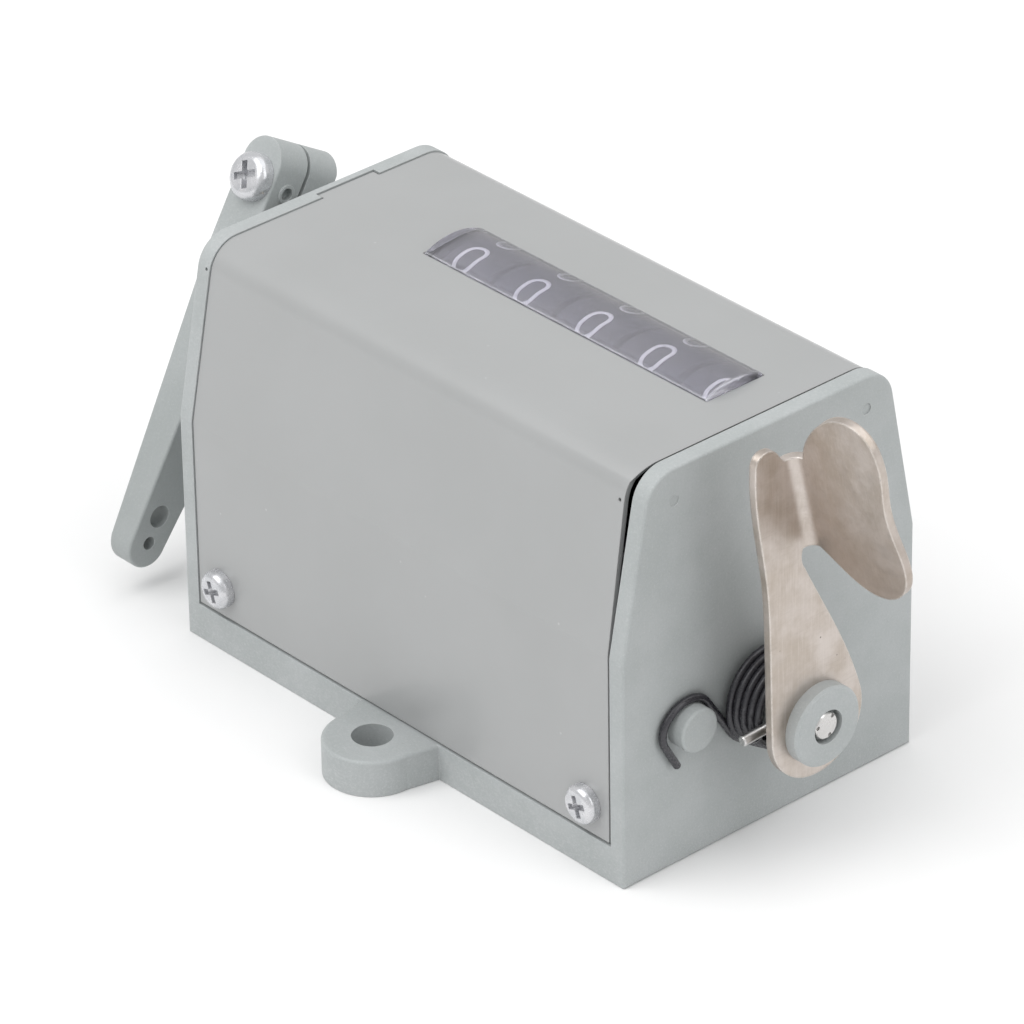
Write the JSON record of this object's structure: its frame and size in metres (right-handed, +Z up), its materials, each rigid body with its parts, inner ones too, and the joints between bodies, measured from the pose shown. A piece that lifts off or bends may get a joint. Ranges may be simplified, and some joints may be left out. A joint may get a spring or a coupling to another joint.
{
  "type": "tally counter",
  "caption": "Lever-driven mechanical tally counter: painted sheet cover on a moulded frame, domed display window, number wheels, crank arm at one end and sprung thumb reset lever at the other.",
  "frame": {"origin": "centre of the base's underside", "axes": "+X along the body towards the reset lever, +Y across it towards the reader, +Z up out of the base"},
  "size_m": [0.1388, 0.0766, 0.0737],
  "materials": {
    "housing_plastic": "moulded grey-green plastic, fine satin grain",
    "cover_paint": "semi-gloss grey enamel on sheet steel",
    "lens": "clear acrylic",
    "nickel_plate": "satin nickel plate with fine scratches",
    "zinc_steel": "bright zinc plate",
    "shaft_steel": "ground steel",
    "spring_wire": "drawn spring wire",
    "black_wire": "black oxide spring wire",
    "bush_brass": "turned",
    "wheel_black": "black moulded drum with printed white digits",
    "white_acetal": "natural acetal"
  },
  "bodies": {
    "housing": {"frame": "housing_plastic", "cover": "cover_paint", "cover_screws": "zinc_steel", "window_lens": "lens", "drive_bush": "bush_brass", "reset_bush": "bush_brass", "key_bar": "shaft_steel", "transfer_plates": "zinc_steel", "detent_stud": "shaft_steel", "reset_spring": "black_wire", "drive_spring": "spring_wire", "detent_spring": "spring_wire"},
    "reset_lever": {"reset_lever": "nickel_plate", "reset_hub": "housing_plastic", "reset_cap": "housing_plastic", "reset_shaft": "shaft_steel", "reset_pin": "shaft_steel", "reset_sector": "zinc_steel", "sector_pin": "shaft_steel"},
    "drive_arm": {"drive_arm": "housing_plastic", "clamp_screw": "zinc_steel", "drive_shaft": "shaft_steel", "drive_clip": "zinc_steel", "pawl_carrier": "zinc_steel", "pawl_stud": "shaft_steel", "pawl_spring": "spring_wire"},
    "drive_pawl": {"drive_pawl": "zinc_steel"},
    "detent_pawl": {"detent_pawl": "zinc_steel"},
    "wheel_shaft": {"wheel_shaft": "shaft_steel", "reset_pinion": "bush_brass"},
    "units_wheel": {"wheel_units": "wheel_black", "zero_leaf_units": "spring_wire", "ratchet_wheel": "white_acetal"},
    "tens_wheel": {"wheel_tens": "wheel_black", "zero_leaf_tens": "spring_wire"},
    "transfer_pinion_tens": {"transfer_pinion_tens": "white_acetal"},
    "hundreds_wheel": {"wheel_hundreds": "wheel_black", "zero_leaf_hundreds": "spring_wire"},
    "transfer_pinion_hundreds": {"transfer_pinion_hundreds": "white_acetal"},
    "thousands_wheel": {"wheel_thousands": "wheel_black", "zero_leaf_thousands": "spring_wire"},
    "transfer_pinion_thousands": {"transfer_pinion_thousands": "white_acetal"},
    "ten_thousands_wheel": {"wheel_ten_thousands": "wheel_black", "zero_leaf_ten_thousands": "spring_wire"},
    "transfer_pinion_ten_thousands": {"transfer_pinion_ten_thousands": "white_acetal"}
  },
  "joints": [
    {"name": "reset_lever_swing", "type": "hinge", "parent": "housing", "child": "reset_lever", "pos_m": [0.0552, -0.00215, 0.021], "axis": [1, 0, 0], "range_deg": [0, 60], "stiffness_Nm_per_rad": 0.05, "springref_deg": -28.65, "deforming": ["reset_spring"]},
    {"name": "drive_arm_swing", "type": "hinge", "parent": "housing", "child": "drive_arm", "pos_m": [-0.0605, 0.003, 0.0474], "axis": [-1, 0, 0], "range_deg": [0, 45], "stiffness_Nm_per_rad": 0.06, "springref_deg": -28.65, "deforming": ["drive_spring"]},
    {"name": "drive_pawl_hinge", "type": "hinge", "parent": "drive_arm", "child": "drive_pawl", "pos_m": [-0.02485, -0.00658, 0.04391], "axis": [1, 0, 0], "range_deg": [0, 10], "stiffness_Nm_per_rad": 0.0005, "springref_deg": -17.19, "deforming": ["pawl_spring"]},
    {"name": "detent_pawl_hinge", "type": "hinge", "parent": "housing", "child": "detent_pawl", "pos_m": [-0.02485, 0.0172, 0.037], "axis": [-1, 0, 0], "range_deg": [0, 10], "stiffness_Nm_per_rad": 0.001, "springref_deg": -17.19, "deforming": ["detent_spring"]},
    {"name": "units_wheel_spin", "type": "hinge", "parent": "housing", "child": "units_wheel", "pos_m": [-0.0168, 0.003, 0.0474], "axis": [-1, 0, 0], "continuous": true},
    {"name": "wheel_shaft_spin", "type": "hinge", "parent": "housing", "child": "wheel_shaft", "pos_m": [0.008, 0.003, 0.0474], "axis": [1, 0, 0], "range_deg": [-360, 0]},
    {"name": "tens_wheel_spin", "type": "hinge", "parent": "housing", "child": "tens_wheel", "pos_m": [-0.0044, 0.003, 0.0474], "axis": [-1, 0, 0], "continuous": true},
    {"name": "transfer_pinion_tens_spin", "type": "hinge", "parent": "housing", "child": "transfer_pinion_tens", "pos_m": [-0.0106, -0.0033, 0.0474], "axis": [-1, 0, 0], "continuous": true},
    {"name": "hundreds_wheel_spin", "type": "hinge", "parent": "housing", "child": "hundreds_wheel", "pos_m": [0.008, 0.003, 0.0474], "axis": [-1, 0, 0], "continuous": true},
    {"name": "transfer_pinion_hundreds_spin", "type": "hinge", "parent": "housing", "child": "transfer_pinion_hundreds", "pos_m": [0.0018, -0.0033, 0.0474], "axis": [-1, 0, 0], "continuous": true},
    {"name": "thousands_wheel_spin", "type": "hinge", "parent": "housing", "child": "thousands_wheel", "pos_m": [0.0204, 0.003, 0.0474], "axis": [-1, 0, 0], "continuous": true},
    {"name": "transfer_pinion_thousands_spin", "type": "hinge", "parent": "housing", "child": "transfer_pinion_thousands", "pos_m": [0.0142, -0.0033, 0.0474], "axis": [-1, 0, 0], "continuous": true},
    {"name": "ten_thousands_wheel_spin", "type": "hinge", "parent": "housing", "child": "ten_thousands_wheel", "pos_m": [0.0328, 0.003, 0.0474], "axis": [-1, 0, 0], "continuous": true},
    {"name": "transfer_pinion_ten_thousands_spin", "type": "hinge", "parent": "housing", "child": "transfer_pinion_ten_thousands", "pos_m": [0.0266, -0.0033, 0.0474], "axis": [-1, 0, 0], "continuous": true}
  ],
  "couplings": [
    {"joint": "wheel_shaft_spin", "follows": "reset_lever_swing", "ratio": -6},
    {"joint": "tens_wheel_spin", "follows": "units_wheel_spin", "ratio": 0.1},
    {"joint": "transfer_pinion_tens_spin", "follows": "units_wheel_spin", "ratio": 0.33333},
    {"joint": "hundreds_wheel_spin", "follows": "units_wheel_spin", "ratio": 0.01},
    {"joint": "transfer_pinion_hundreds_spin", "follows": "units_wheel_spin", "ratio": 0.033333},
    {"joint": "thousands_wheel_spin", "follows": "units_wheel_spin", "ratio": 0.001},
    {"joint": "transfer_pinion_thousands_spin", "follows": "units_wheel_spin", "ratio": 0.0033333},
    {"joint": "ten_thousands_wheel_spin", "follows": "units_wheel_spin", "ratio": 0.0001},
    {"joint": "transfer_pinion_ten_thousands_spin", "follows": "units_wheel_spin", "ratio": 0.00033333}
  ]
}
